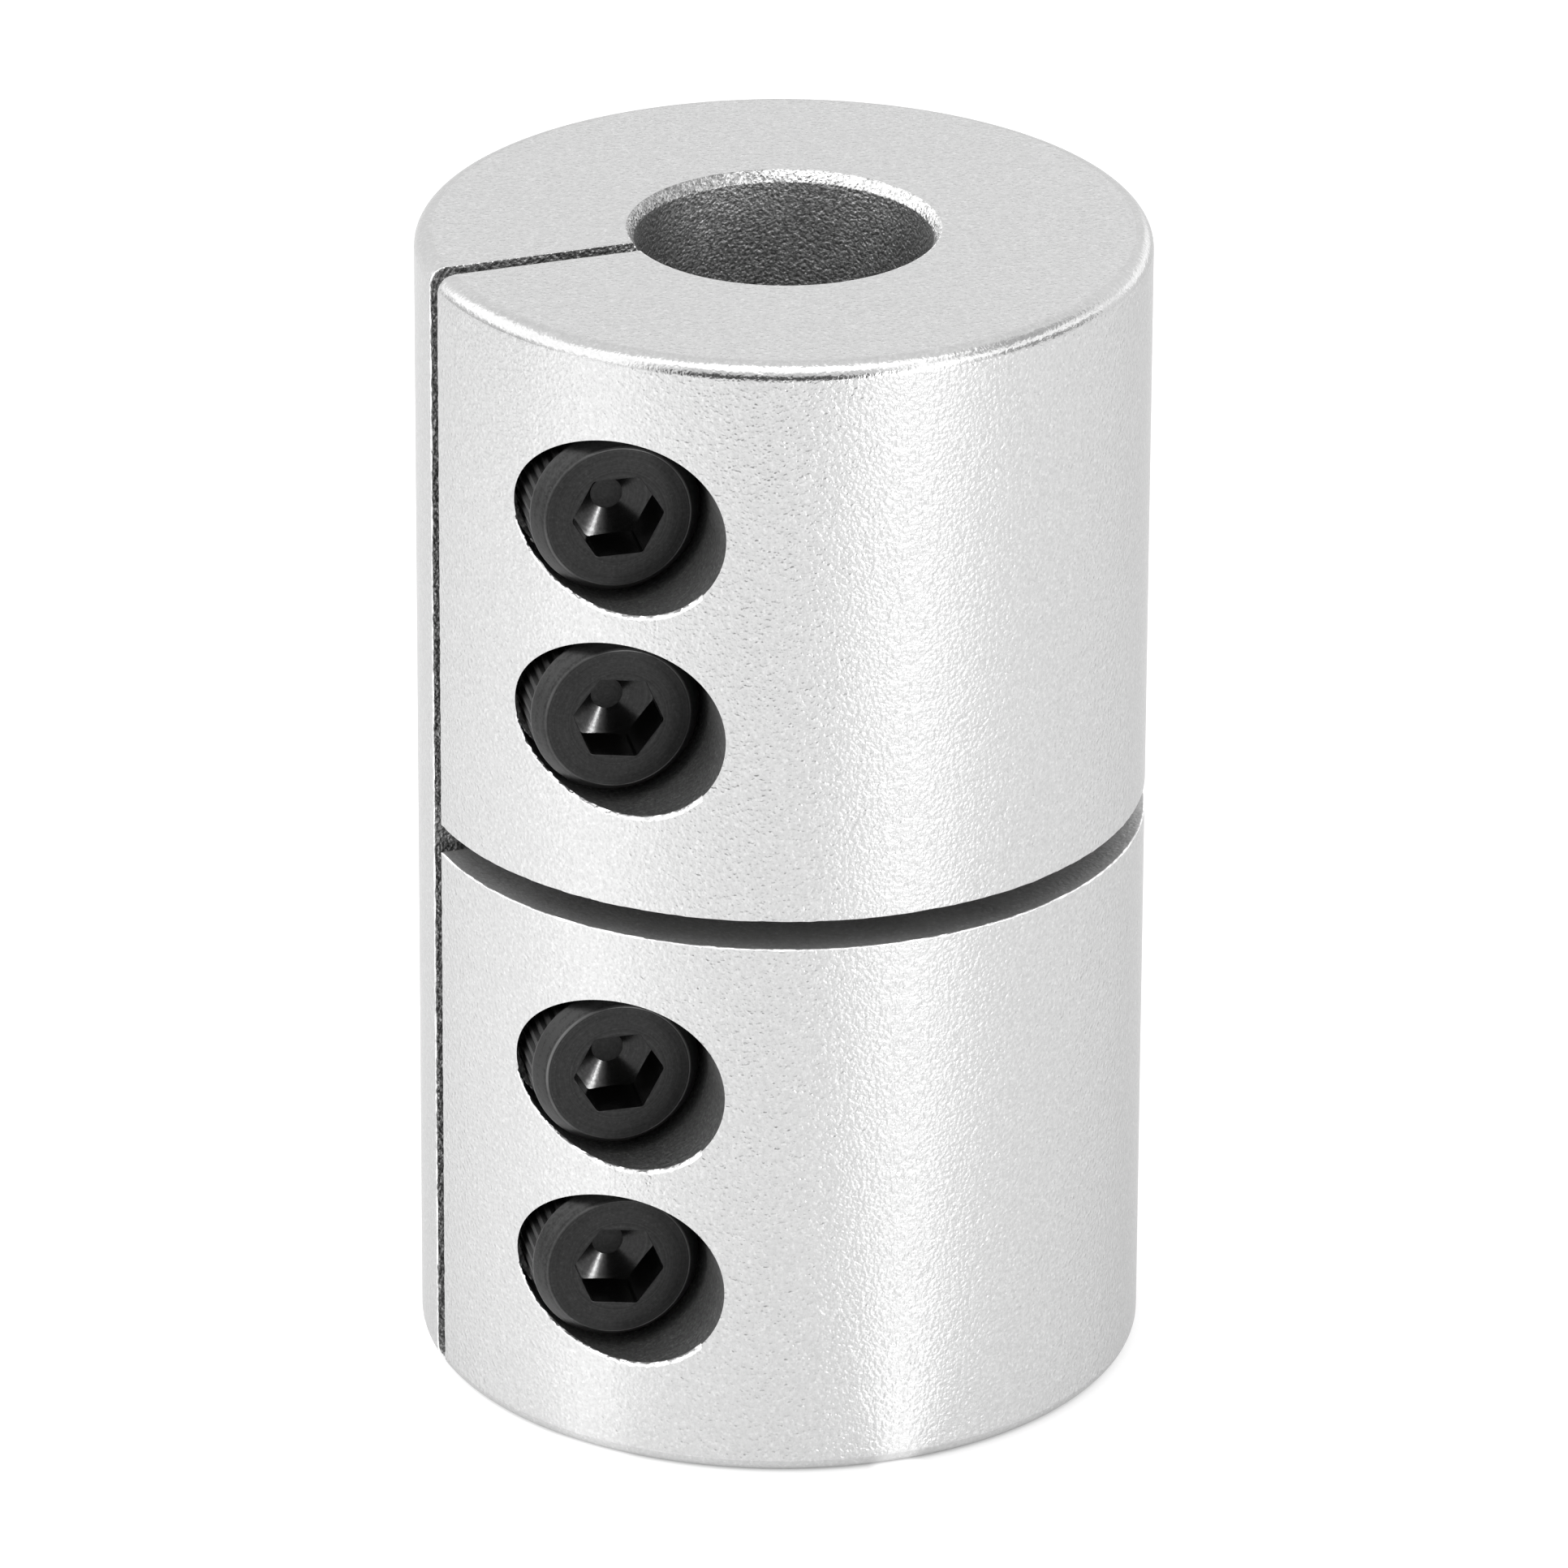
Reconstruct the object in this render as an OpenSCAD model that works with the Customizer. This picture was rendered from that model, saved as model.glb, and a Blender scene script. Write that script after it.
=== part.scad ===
// Rigid clamping coupling that joins two shafts end to end.
// One split body grips both shafts, and four socket-head cap screws close it.
// It stands on its lower end with the bore along +Z. The slit opens towards -X and the
// screw heads look towards -Y. The origin is the centre of the lower end. Millimetres.

/* [Body] */
// Outer diameter of the body
body_d = 37; // [36:0.5:44]
// Length of the body
body_len = 60.5; // [58:0.5:80]
// Radius that rounds the two rims
rim_r = 0.9; // [0.3:0.1:2]
// Diameter of the bore that takes both shafts
bore_d = 15; // [10:0.5:16]
// Width of the chamfer at each mouth of the bore
bore_chamfer = 0.35; // [0.2:0.05:1]
// Depth of that chamfer
bore_chamfer_h = 0.55; // [0.2:0.05:1.2]

/* [Slit and cross slot] */
// Width of the slit that opens the body from end to end
slit_w = 1.1; // [0.8:0.1:2]
// Width of the cross slot that parts the two clamping arms
cross_w = 1.5; // [0.8:0.1:3]
// How far the middle of the cross slot lies below mid-length
cross_drop = 0.25; // [0:0.05:1]

/* [Screw pattern] */
// Height of the lower screw of each half above the start of that half
screw_rise = 10.1; // [8:0.1:11]
// Distance between the two screws of one half
screw_pitch = 10.8; // [10.2:0.1:12]
// Angle by which the screws lean away from square to the slit
screw_skew = 8.5; // [0:0.5:9]
// Metal left between the bore and a screw hole
bore_wall = 0.75; // [0.4:0.05:1.5]
// How far the top of a head lies below the body's surface, on the screw's axis
head_sink = 1.6; // [1:0.1:2.5]
// Radial room around a screw head in its pocket
pocket_gap = 0.35; // [0.1:0.05:0.6]
// Radial room around a screw in the arm that it passes through
hole_gap = 0.25; // [0.1:0.05:0.4]
// Radial room between a screw and its tapped hole
thread_gap = 0.05; // [0.02:0.01:0.1]
// Depth of a tapped hole beyond the screw's end
tap_room = 2; // [1:0.5:3]

/* [Cap screws] */
// Thread diameter
screw_d = 5; // [4:0.5:6]
// Length below the head
screw_len = 16; // [12:1:18]
// Width of the bevel at the screw's end
tip_bevel = 0.7; // [0.2:0.1:1]
// Diameter of the head
head_d = 8.5; // [7.5:0.1:9]
// Height of the head
head_h = 5; // [4:0.1:6]
// Width of the bevel round the top of the head
head_bevel = 0.6; // [0.2:0.05:0.8]
// Height of that bevel
head_bevel_h = 0.9; // [0.3:0.1:1.5]
// Width of the hexagon socket across its flats
key_w = 4; // [3:0.5:5]
// Depth of the socket's flat walls
key_depth = 2.75; // [2:0.05:3]
// Radius of the small flat at the bottom of the socket
key_floor_r = 0.8; // [0.4:0.1:1.2]
// Depth of the shallow cone below the socket's walls
key_cone_h = 0.4; // [0.1:0.05:0.8]

/* [Hidden] */
$fn = 96;

// How far each screw is turned when it is tight, from the lowest to the highest
screw_turn = [-7, 2, -7, 2];
// Point angle of the drill that opens the tapped holes
drill_angle = 118;
// How far a cut runs past a surface that it opens
cut_past = 1;

body_r = body_d / 2;
bore_r = bore_d / 2;
half_len = body_len / 2;
cross_z = half_len - cross_drop;
hole_r = screw_d / 2 + hole_gap;
tap_r = screw_d / 2 + thread_gap;
head_r = head_d / 2;
pocket_r = head_r + pocket_gap;
screw_offset = bore_r + bore_wall + hole_r;
// Height of the pocket floors above the bore's axis
seat_h = sqrt(pow(body_r, 2) - pow(screw_offset, 2)) - head_sink - head_h;
screw_z = [for (half = [0, 1]) for (k = [0, 1]) half * half_len + screw_rise + k * screw_pitch];
// Where the slit crosses a screw's axis, above the bore's axis
slit_h = screw_offset * tan(screw_skew);
tap_end = seat_h - screw_len - tap_room;
key_corner_r = key_w / 2 / cos(30);

// The round bar with its two rounded rims
module blank() {
    rotate_extrude() {
        square([body_r - rim_r, body_len]);
        translate([0, rim_r]) square([body_r, body_len - 2 * rim_r]);
        for (z = [rim_r, body_len - rim_r]) translate([body_r - rim_r, z]) intersection() {
            circle(rim_r);
            translate([0, -rim_r]) square([rim_r, 2 * rim_r]);
        }
    }
}

// The bore and the chamfers at its two mouths
module bore() {
    mouth_r = bore_r + bore_chamfer * (1 + cut_past / bore_chamfer_h);
    translate([0, 0, -cut_past]) cylinder(r = bore_r, h = body_len + 2 * cut_past);
    for (end = [0, 1]) translate([0, 0, end * body_len]) mirror([0, 0, end])
        translate([0, 0, -cut_past])
            cylinder(r1 = mouth_r, r2 = bore_r, h = bore_chamfer_h + cut_past);
}

// The slit, from the bore out through the wall, from end to end
module slit() {
    translate([-body_r - cut_past, -slit_w / 2, -cut_past])
        cube([body_r + cut_past, slit_w, body_len + 2 * cut_past]);
}

// The saw cut across the front half, as deep as the slit
module cross_slot() {
    reach = body_r + cut_past;
    translate([-reach, -reach, cross_z - cross_w / 2]) cube([2 * reach, reach, cross_w]);
}

// Puts children on the axis of screw i: z = 0 at the bore's axis, +Z towards the head
module on_screw_axis(i) {
    translate([0, 0, screw_z[i]]) rotate([0, 0, -screw_skew])
        translate([-screw_offset, 0, 0]) rotate([90, 0, 0]) children();
}

// The pocket, the clear hole below it and the blind tapped hole beyond the slit
module screw_hole() {
    point_h = tap_r / tan(drill_angle / 2);
    rotate_extrude() polygon([
        [0, tap_end - point_h], [tap_r, tap_end], [tap_r, slit_h], [hole_r, slit_h],
        [hole_r, seat_h], [pocket_r, seat_h], [pocket_r, body_r + cut_past],
        [0, body_r + cut_past]
    ]);
}

module body() {
    color([0.80, 0.80, 0.81]) difference() {
        blank();
        bore();
        slit();
        cross_slot();
        for (i = [0:3]) on_screw_axis(i) screw_hole();
    }
}

// The hexagon socket with its coned floor, opening upwards at z = 0
module key_socket() {
    wall_h = key_depth - key_cone_h * (key_corner_r - key_w / 2) / (key_w / 2 - key_floor_r);
    floor_h = key_depth + key_cone_h;
    intersection() {
        translate([0, 0, -floor_h]) cylinder(r = key_corner_r, h = floor_h + cut_past, $fn = 6);
        union() {
            translate([0, 0, -floor_h])
                cylinder(r1 = key_floor_r, r2 = key_corner_r, h = floor_h - wall_h);
            translate([0, 0, -wall_h]) cylinder(r = key_corner_r, h = wall_h + cut_past);
        }
    }
}

// A socket-head cap screw, its head standing on z = 0 and turned by the given angle
module cap_screw(turn) {
    shank_r = screw_d / 2;
    color([0.10, 0.10, 0.11]) difference() {
        rotate_extrude() polygon([
            [0, -screw_len], [shank_r - tip_bevel, -screw_len], [shank_r, -screw_len + tip_bevel],
            [shank_r, 0], [head_r, 0], [head_r, head_h - head_bevel_h],
            [head_r - head_bevel, head_h], [0, head_h]
        ]);
        translate([0, 0, head_h]) rotate([0, 0, turn]) key_socket();
    }
}

body();
for (i = [0:3]) {
    on_screw_axis(i) translate([0, 0, seat_h]) cap_screw(screw_turn[i]);
}
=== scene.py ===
import math

import bmesh
import bpy
from mathutils import Matrix, Vector, noise


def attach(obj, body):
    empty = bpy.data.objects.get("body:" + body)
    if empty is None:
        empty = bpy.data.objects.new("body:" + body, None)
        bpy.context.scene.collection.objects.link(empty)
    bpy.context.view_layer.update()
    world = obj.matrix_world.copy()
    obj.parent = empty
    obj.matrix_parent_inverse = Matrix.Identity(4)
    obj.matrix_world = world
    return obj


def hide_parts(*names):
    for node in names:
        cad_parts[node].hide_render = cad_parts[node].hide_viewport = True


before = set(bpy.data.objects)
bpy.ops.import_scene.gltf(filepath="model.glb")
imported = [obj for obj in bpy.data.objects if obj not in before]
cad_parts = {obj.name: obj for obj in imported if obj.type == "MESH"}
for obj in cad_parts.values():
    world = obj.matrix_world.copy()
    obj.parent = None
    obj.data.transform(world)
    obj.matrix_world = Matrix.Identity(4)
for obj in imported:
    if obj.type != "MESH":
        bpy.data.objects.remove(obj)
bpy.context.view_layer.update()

MM = 0.001

# Sizes of the coupling in millimetres, as the solids have them
BODY_R = 18.5
BODY_LEN = 60.5
RIM_R = 0.9
BORE_R = 7.5
BORE_CHAMFER = 0.35
BORE_CHAMFER_H = 0.55
SLIT_W = 1.1
CROSS_Z = 30.0
CROSS_W = 1.5
SCREW_Z = (10.1, 20.9, 40.35, 51.15)
SCREW_SKEW = 8.5
SCREW_OFFSET = 11.0
SCREW_TURN = (-7.0, 2.0, -7.0, 2.0)
HEAD_SINK = 1.6
POCKET_R = 4.6
HOLE_R = 2.75
TAP_R = 2.55
TAP_ROOM = 2.0
DRILL_ANGLE = 118.0
SHANK_R = 2.5
SHANK_LEN = 16.0
TIP_BEVEL = 0.7
HEAD_R = 4.25
HEAD_H = 5.0
HEAD_FACE_R = 3.65
HEAD_SHOULDER_H = 0.9
KEY_W = 4.0
KEY_DEPTH = 2.75
KEY_FLOOR_R = 0.8
KEY_CONE_H = 0.4

# Heights above the bore's axis, along a screw: the pocket's floor, the slit and the end of the tapped hole
SEAT_H = math.sqrt(BODY_R ** 2 - SCREW_OFFSET ** 2) - HEAD_SINK - HEAD_H
SLIT_H = SCREW_OFFSET * math.tan(math.radians(SCREW_SKEW))
TAP_END = SEAT_H - SHANK_LEN - TAP_ROOM
# From the socket's axis to a corner of its hexagon
KEY_TIP_R = KEY_W / 2 / math.cos(math.radians(30))

# Detail that only this script gives the screws, in millimetres. The half widths of a thread's ridge are in pitches,
# and its foot is sunk into the shank
THREAD_PITCH = 0.8
THREAD_DEPTH = 0.49
THREAD_START = 1.5
THREAD_RUN_OUT = 0.5
RIDGE_SINK = 0.12
RIDGE_TOP_GAP = 0.04
RIDGE_FOOT, RIDGE_ROOT, RIDGE_CREST = 0.45, 0.43, 0.07
NECK = 0.3
HEAD_FOOT_BEVEL = 0.2
HEAD_CORNER = 0.08
KNURL_EVERY = 3
KNURL_DEPTH = 0.14
KNURL_START = 0.35
KNURL_REST = 0.2
KEY_CORNER_R = 0.12
KEY_CORNER_STEPS = 3
KEY_EDGE_BREAK = 0.05

# How finely round shapes are divided, how far a cut runs past what it opens, and where an edge counts as sharp
BODY_STEPS = 262
HOLE_STEPS = 180
RIM_STEPS = 10
SHANK_STEPS = 48
HEAD_STEPS = 120
THREAD_STEPS = 32
PAST = 1.0
SEAM_WELD = 1e-5
WELD = 0.02
SHARP_DEG = 32.0
SCREW_SHARP_DEG = 16.0

# How near a surface a point or the middle of a face is when it counts as on it, and the same for an end face
NEAR = 0.01
NEAR_END = 0.001

# Broken edges and their small irregularities, in millimetres: how wide, how ragged, over what length and from which
# seed, and how finely a sawn edge longer than the last value is divided
CHAMFER_EASE = 0.06
EDGE_BREAK = 0.07
MOUTH_EDGE_BREAK = 0.17
EDGE_ROUGHNESS = 0.03
SAWN_ROUGHNESS = 0.07
BURR_SIZE = 0.13
ROUGHNESS_LENGTH = 0.15
ROUGHNESS_SEED = 1
SAWN_STEP = 0.3
LONG_EDGE = 1.0
# The part of each pocket's mouth that keeps a burr, seen along its screw, whose bright grey is partly a painted
# highlight
BURR_FROM_DEG = 190.0
BURR_TO_DEG = 320.0
# An edge that runs less level than this counts as upright
LEVEL_SHARE = 0.1
# A vertex takes the first of these shares of its move that turns no face around it past this cosine, and it moves out
# no further than this depth below the wall
MOVE_SHARES = (1.0, 0.6, 0.3, 0.0)
LEAST_FACING = 0.65
BELOW_WALL = 0.01

# The grain of the finishes: facets for each dimple, how soft a glint ends, the range of noise that makes the pits and
# how much they brighten, so that the pits stay darker as painted shade, how much a glint brightens as a painted
# highlight, and slow clouds per metre
FACETS_PER_DIMPLE = 1.7
GLINT_SOFTNESS = 0.1
PIT_RANGE = (0.25, 0.75)
PIT_SHADE = 0.6
GLINT_SHADE = 0.5
CLOUDS_PER_METRE = 160.0

# Black oxide: its grain, its turning marks and the patches that they come in, the tones as parts of its grey, and
# where the shoulder's brighter tone, a painted sheen, starts and is full, from the edge of the head's face in
# millimetres
OXIDE_METALLIC = 0.9
OXIDE_DIMPLES = 6000.0
OXIDE_GLINTS = 0.1
MARKS_PER_METRE = 7000.0
MARK_PATCHES = 1.8
MARK_SHADE = 0.7
GRAIN_SHADE = 0.5
OXIDE_TONES = (0.5, 1.8)
SHOULDER_SHEEN_FADE = (-0.06, 0.02)
# The edge of the head's face is rubbed bright, in patches, partly wear and partly a painted highlight: where the
# clouds start and are full, and the least share
RUB_AND_CATCH_LIGHT_WIDTH = 0.07
RUB_AND_CATCH_LIGHT_GREY = 0.13
RUB_AND_CATCH_LIGHT_PATCHES = (0.42, 0.62, 0.1)

# The finishes of the body's faces and of a screw's faces, in the order of their material slots
OUTSIDE, RIM, CHAMFER, BORE, SLIT, CROSS_SLOT, POCKET, BURR = range(8)
TURNED, PUNCHED, KNURLED = range(3)
# How far a face looks away from the bore's axis to count as rim, and towards it to count as bore, as cosines
OUTWARD, INWARD = 0.05, -0.1
# An edge this far above a pocket's floor can be on its mouth. The socket starts this far below the head's face, and
# the knurl keeps this far from both ends of the head's side and goes this deep
MOUTH_ABOVE_SEAT = 0.1
BELOW_FACE = 0.02
KNURL_MARGIN = 0.05
KNURL_BAND = 0.25

# The camera, worked out from the outline, the bore, the slit and the screw pockets in the photograph
PHOTO_SIDE_PX = 1932
FOCAL_PX = 15846
SENSOR_MM = 36.0
VIEW_AZIMUTH = 249.8
VIEW_ELEVATION = 24.1
VIEW_ROLL = 0.265
VIEW_DISTANCE = 655.0
LOOK_RIGHT = 0.13
LOOK_HEIGHT = 30.0
CLIP_NEAR, CLIP_FAR = 0.05, 20.0

# The studio's walls and ceiling: (azimuth from the camera's side, half width, lowest and highest elevation,
# change of brightness), on top of an even white room
ROOM_LEVEL = 1.08
ROOM_PANELS = {
    "light_back": (180, 70, -20, 34, 0.20),
    "light_back_high": (180, 70, 48, 84, 0.10),
    "dark_front": (-4, 26, -20, 20, -0.95),
    "light_left": (-85, 37, 9, 42, 0.80),
    "dark_right_low": (97, 28, -20, 8, -0.60),
    "light_right": (85, 22, 18, 28, 0.65),
    "light_right_edge": (52, 8, 8, 40, 0.90),
    "dark_right_high": (92, 30, 36, 52, -0.38),
    "light_right_back": (133, 24, -4, 11, 0.60),
    "light_overhead": (0, 80, 52, 88, 1.25),
}
PANEL_SOFT_DEG = 8.0
LEAST_LEVEL = 0.03

# One strip light on the right: azimuth from the camera's side and elevation, distance and size in metres, watts
STRIP_LIGHT = (36, 6.5, 0.75, (0.03, 0.20), 1.1)

# The floor glows like a light table, a painted light: brightness on its right and left, and two brighter streaks of
# painted light that the body mirrors as upright highlights: (azimuth of the highlight on the body, azimuth in which
# the streak runs off, half width, extra brightness), in degrees from the camera's side
FLOOR_HALF_SIDE = 3.0
FLOOR_GREY = 0.4
FLOOR_ROUGHNESS = 0.9
FLOOR_GLOW = (0.56, 0.76)
GLOW_TURNS = (-25, 45)
FLOOR_STREAKS = ((19.5, 41.5, 6.5, 0.78), (-31, -62, 12, 0.30))
# Where a streak's edge starts to fade and where it ends, in half widths
STREAK_EDGE = (0.5, 1.5)
# The floor glows less under the coupling, a painted shade, so that the lower rim mirrors a shaded foot: radii and
# share of the glow. The streaks fade towards the foot in the same way
FOOT_SHADE = (17.7, 18.25, 0.45)
STREAK_FADE = (18.0, 24.0, 0.5)

# A bent grey card that stands on the left and is seen in reflections alone: distance from the bore's axis, azimuth
# from the camera's side, half width, lowest and highest edge, grey
CARD_DISTANCE = 165.0
CARD_AZIMUTH = -95
CARD_HALF_WIDTH = 26
CARD_HEIGHTS = (22.0, 56.0)
CARD_GREY = 0.60
CARD_STEPS = 16


# ---- Places and directions

def beside_screws(point):
    """How far a point lies to the right of the plane of the screws' axes, and how far out along them."""
    skew = math.radians(SCREW_SKEW)
    aside = point.x * math.cos(skew) - point.y * math.sin(skew) + SCREW_OFFSET
    return aside, -point.x * math.sin(skew) - point.y * math.cos(skew)


def from_screw_axis(point):
    """How far a point lies from the nearest screw's axis, and how far out along that axis."""
    aside, out = beside_screws(point)
    return math.hypot(aside, min(abs(point.z - z) for z in SCREW_Z)), out


def on_screw_axis(i):
    """The place of screw i's axis: Z points out of the head, zero lies beside the bore's axis."""
    return (Matrix.Translation((0, 0, SCREW_Z[i])) @ Matrix.Rotation(math.radians(-SCREW_SKEW), 4, "Z")
            @ Matrix.Translation((-SCREW_OFFSET, 0, 0)) @ Matrix.Rotation(math.radians(90), 4, "X"))


def toward(azimuth):
    """A level direction, its azimuth counted from the camera's side."""
    a = math.radians(VIEW_AZIMUTH + azimuth)
    return (math.cos(a), math.sin(a), 0.0)


def sine(deg):
    """The sine of an angle in degrees."""
    return math.sin(math.radians(deg))


# ---- Shaping, in millimetres

def eased(before, corner, after, reach):
    """The three profile points that round one corner."""
    start = corner + (before - corner).normalized() * reach
    end = corner + (after - corner).normalized() * reach
    return [tuple(start), tuple((start + corner * 2 + end) / 4), tuple(end)]


def arc(centre, radius, start_deg, end_deg, steps):
    """Points of an arc in a profile."""
    angles = [math.radians(start_deg + (end_deg - start_deg) * i / steps) for i in range(steps + 1)]
    return [(centre[0] + radius * math.cos(a), centre[1] + radius * math.sin(a)) for a in angles]


def turned(profile, steps):
    """A solid of revolution about Z. The profile's points are (radius, height)."""
    bm = bmesh.new()
    ring = [bm.verts.new((r, 0.0, z)) for r, z in profile]
    for a, b in zip(ring, ring[1:]):
        bm.edges.new((a, b))
    if profile[0][0] > 0:
        bm.edges.new((ring[-1], ring[0]))
    bmesh.ops.spin(bm, geom=bm.verts[:] + bm.edges[:], cent=(0, 0, 0), axis=(0, 0, 1), dvec=(0, 0, 0),
                   angle=2 * math.pi, steps=steps, use_merge=True, use_duplicate=False)
    bmesh.ops.remove_doubles(bm, verts=bm.verts[:], dist=SEAM_WELD)
    bmesh.ops.recalc_face_normals(bm, faces=bm.faces[:])
    return bm


def brick(low, high):
    """A block between its lowest and its highest corner."""
    bm = bmesh.new()
    bmesh.ops.create_cube(bm, size=1.0)
    middle = [(a + b) / 2 for a, b in zip(low, high)]
    size = [b - a for a, b in zip(low, high)]
    bmesh.ops.scale(bm, vec=size, verts=bm.verts[:])
    bmesh.ops.translate(bm, vec=middle, verts=bm.verts[:])
    return bm


def placed(bm, matrix):
    """The same shape, moved to its place."""
    bmesh.ops.transform(bm, matrix=matrix, verts=bm.verts[:])
    return bm


def made_object(bm, name):
    """An object with the shape as its mesh."""
    mesh = bpy.data.meshes.new(name)
    bm.to_mesh(mesh)
    bm.free()
    shape = bpy.data.objects.new(name, mesh)
    bpy.context.scene.collection.objects.link(shape)
    return shape


def combined(blank, tools, operation):
    """The blank after a boolean with each tool in turn."""
    base = made_object(blank, "blank")
    cutters = [made_object(tool, "cutter") for tool in tools]
    for cutter in cutters:
        step = base.modifiers.new("cut", "BOOLEAN")
        step.operation = operation
        step.solver = "EXACT"
        step.object = cutter
    finished = base.evaluated_get(bpy.context.evaluated_depsgraph_get())
    bm = bmesh.new()
    bm.from_mesh(finished.to_mesh())
    finished.to_mesh_clear()
    for done in [base] + cutters:
        mesh = done.data
        bpy.data.objects.remove(done)
        bpy.data.meshes.remove(mesh)
    bmesh.ops.remove_doubles(bm, verts=bm.verts[:], dist=WELD)
    bmesh.ops.dissolve_degenerate(bm, edges=bm.edges[:], dist=WELD / 4)
    return bm


def break_edges(bm, width, segments=2, chosen=lambda edge: True):
    """Rounds off the sharp edges a little, as a deburred part's are. Returns the new faces."""
    sharp = [e for e in bm.edges if len(e.link_faces) == 2
             and e.calc_face_angle() > math.radians(SHARP_DEG) and chosen(e)]
    made = bmesh.ops.bevel(bm, geom=sharp, offset=width, offset_type="OFFSET", segments=segments, profile=0.5,
                           affect="EDGES", clamp_overlap=False, material=-1, loop_slide=False)
    return made["faces"]


def finished_piece(bm, name, sharp_deg):
    """Makes the shape a piece in metres, with its place in its mesh."""
    bmesh.ops.scale(bm, vec=(MM, MM, MM), verts=bm.verts[:])
    piece = made_object(bm, name)
    piece.data.set_sharp_from_angle(angle=math.radians(sharp_deg))
    weighted = piece.modifiers.new("flat_faces_first", "WEIGHTED_NORMAL")
    weighted.keep_sharp = True
    return piece


# ---- The body

def body_shape():
    """The round bar with its rounded rims, less the bore, the slit, the cross slot and the four stepped holes."""
    top = BODY_LEN
    blank = turned([(0, 0)] + arc((BODY_R - RIM_R, RIM_R), RIM_R, -90, 0, RIM_STEPS)
                   + arc((BODY_R - RIM_R, top - RIM_R), RIM_R, 0, 90, RIM_STEPS) + [(0, top)], BODY_STEPS)
    mouth, throat = Vector((BORE_R + BORE_CHAMFER, 0)), Vector((BORE_R, BORE_CHAMFER_H))
    lower = (eased(mouth + Vector((1, 0)), mouth, throat, CHAMFER_EASE)
             + eased(mouth, throat, throat + Vector((0, 1)), CHAMFER_EASE))
    upper = [(r, top - z) for r, z in reversed(lower)]
    edge_r = lower[0][0]
    bore = turned([(0, -PAST), (edge_r, -PAST)] + lower + upper + [(edge_r, top + PAST), (0, top + PAST)], BODY_STEPS)
    slit = brick((-BODY_R - PAST, -SLIT_W / 2, -PAST), (0, SLIT_W / 2, top + PAST))
    cross_slot = brick((-BODY_R - PAST, -BODY_R - PAST, CROSS_Z - CROSS_W / 2),
                       (BODY_R + PAST, 0, CROSS_Z + CROSS_W / 2))
    point_h = TAP_R / math.tan(math.radians(DRILL_ANGLE / 2))
    stepped = [(0, TAP_END - point_h), (TAP_R, TAP_END), (TAP_R, SLIT_H), (HOLE_R, SLIT_H), (HOLE_R, SEAT_H),
               (POCKET_R, SEAT_H), (POCKET_R, BODY_R + PAST), (0, BODY_R + PAST)]
    holes = [placed(turned(stepped, HOLE_STEPS), on_screw_axis(i)) for i in range(4)]
    return combined(blank, [bore, slit, cross_slot] + holes, "DIFFERENCE")


def region(face):
    """Which finish a face of the body has, by where it lies."""
    centre, normal = face.calc_center_median(), face.normal
    r, from_end = centre.xy.length, min(centre.z, BODY_LEN - centre.z)
    if from_end < NEAR_END or r > BODY_R - NEAR:
        return OUTSIDE
    out = Vector((centre.x, centre.y, 0.0)).normalized()
    if r > BODY_R - RIM_R - NEAR and from_end < RIM_R and normal.dot(out) > OUTWARD:
        return RIM
    if r < BORE_R + BORE_CHAMFER + CHAMFER_EASE and normal.dot(out) < INWARD:
        return CHAMFER if from_end < BORE_CHAMFER_H else BORE
    if abs(centre.y) < SLIT_W / 2 + NEAR:
        return SLIT
    if abs(abs(centre.z - CROSS_Z) - CROSS_W / 2) < NEAR or abs(centre.y) < NEAR:
        return CROSS_SLOT
    return POCKET


def in_burr_arc(point):
    """Whether a point lies in the lower left of the nearest pocket, seen along its screw."""
    aside, _ = beside_screws(point)
    middle_z = min(SCREW_Z, key=lambda z: abs(point.z - z))
    return BURR_FROM_DEG < math.degrees(math.atan2(point.z - middle_z, aside)) % 360 < BURR_TO_DEG


def on_burred_mouth(edge):
    """Whether an edge runs along the part of a pocket's mouth that keeps a burr."""
    for v in edge.verts:
        radius, out = from_screw_axis(v.co)
        if abs(radius - POCKET_R) > NEAR or out < 0 or v.co.xy.length < BODY_R - NEAR:
            return False
    return in_burr_arc((edge.verts[0].co + edge.verts[1].co) / 2)


def off_pocket_mouth(edge):
    """Whether an edge keeps clear of the pockets' mouths."""
    for v in edge.verts:
        radius, out = from_screw_axis(v.co)
        if radius < POCKET_R + 2 * MOUTH_EDGE_BREAK and out > SEAT_H + MOUTH_ABOVE_SEAT:
            return False
    return True


def burred(face):
    """Whether a broken edge keeps a bright burr, whose brightness is partly a painted highlight: on a mouth, the
    slit's rear edge or the cross slot's lower one.
    """
    centre = face.calc_center_median()
    if centre.xy.length < BODY_R - 2 * MOUTH_EDGE_BREAK:
        return False
    radius, out = from_screw_axis(centre)
    if out > 0 and radius < POCKET_R + 2 * MOUTH_EDGE_BREAK:
        return True
    if 0 < centre.y < SLIT_W:
        return centre.x < 0
    return -CROSS_W < centre.z - CROSS_Z < 0 and centre.y < 0


def split_sawn_edges(bm):
    """Divides the slit's outer edges, so that they can be ragged."""
    for edge in bm.edges[:]:
        middle, length = (edge.verts[0].co + edge.verts[1].co) / 2, edge.calc_length()
        if length > LONG_EDGE and middle.xy.length > BODY_R - NEAR and abs(abs(middle.y) - SLIT_W / 2) < NEAR:
            bmesh.ops.subdivide_edges(bm, edges=[edge], cuts=int(length / SAWN_STEP))


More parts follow.
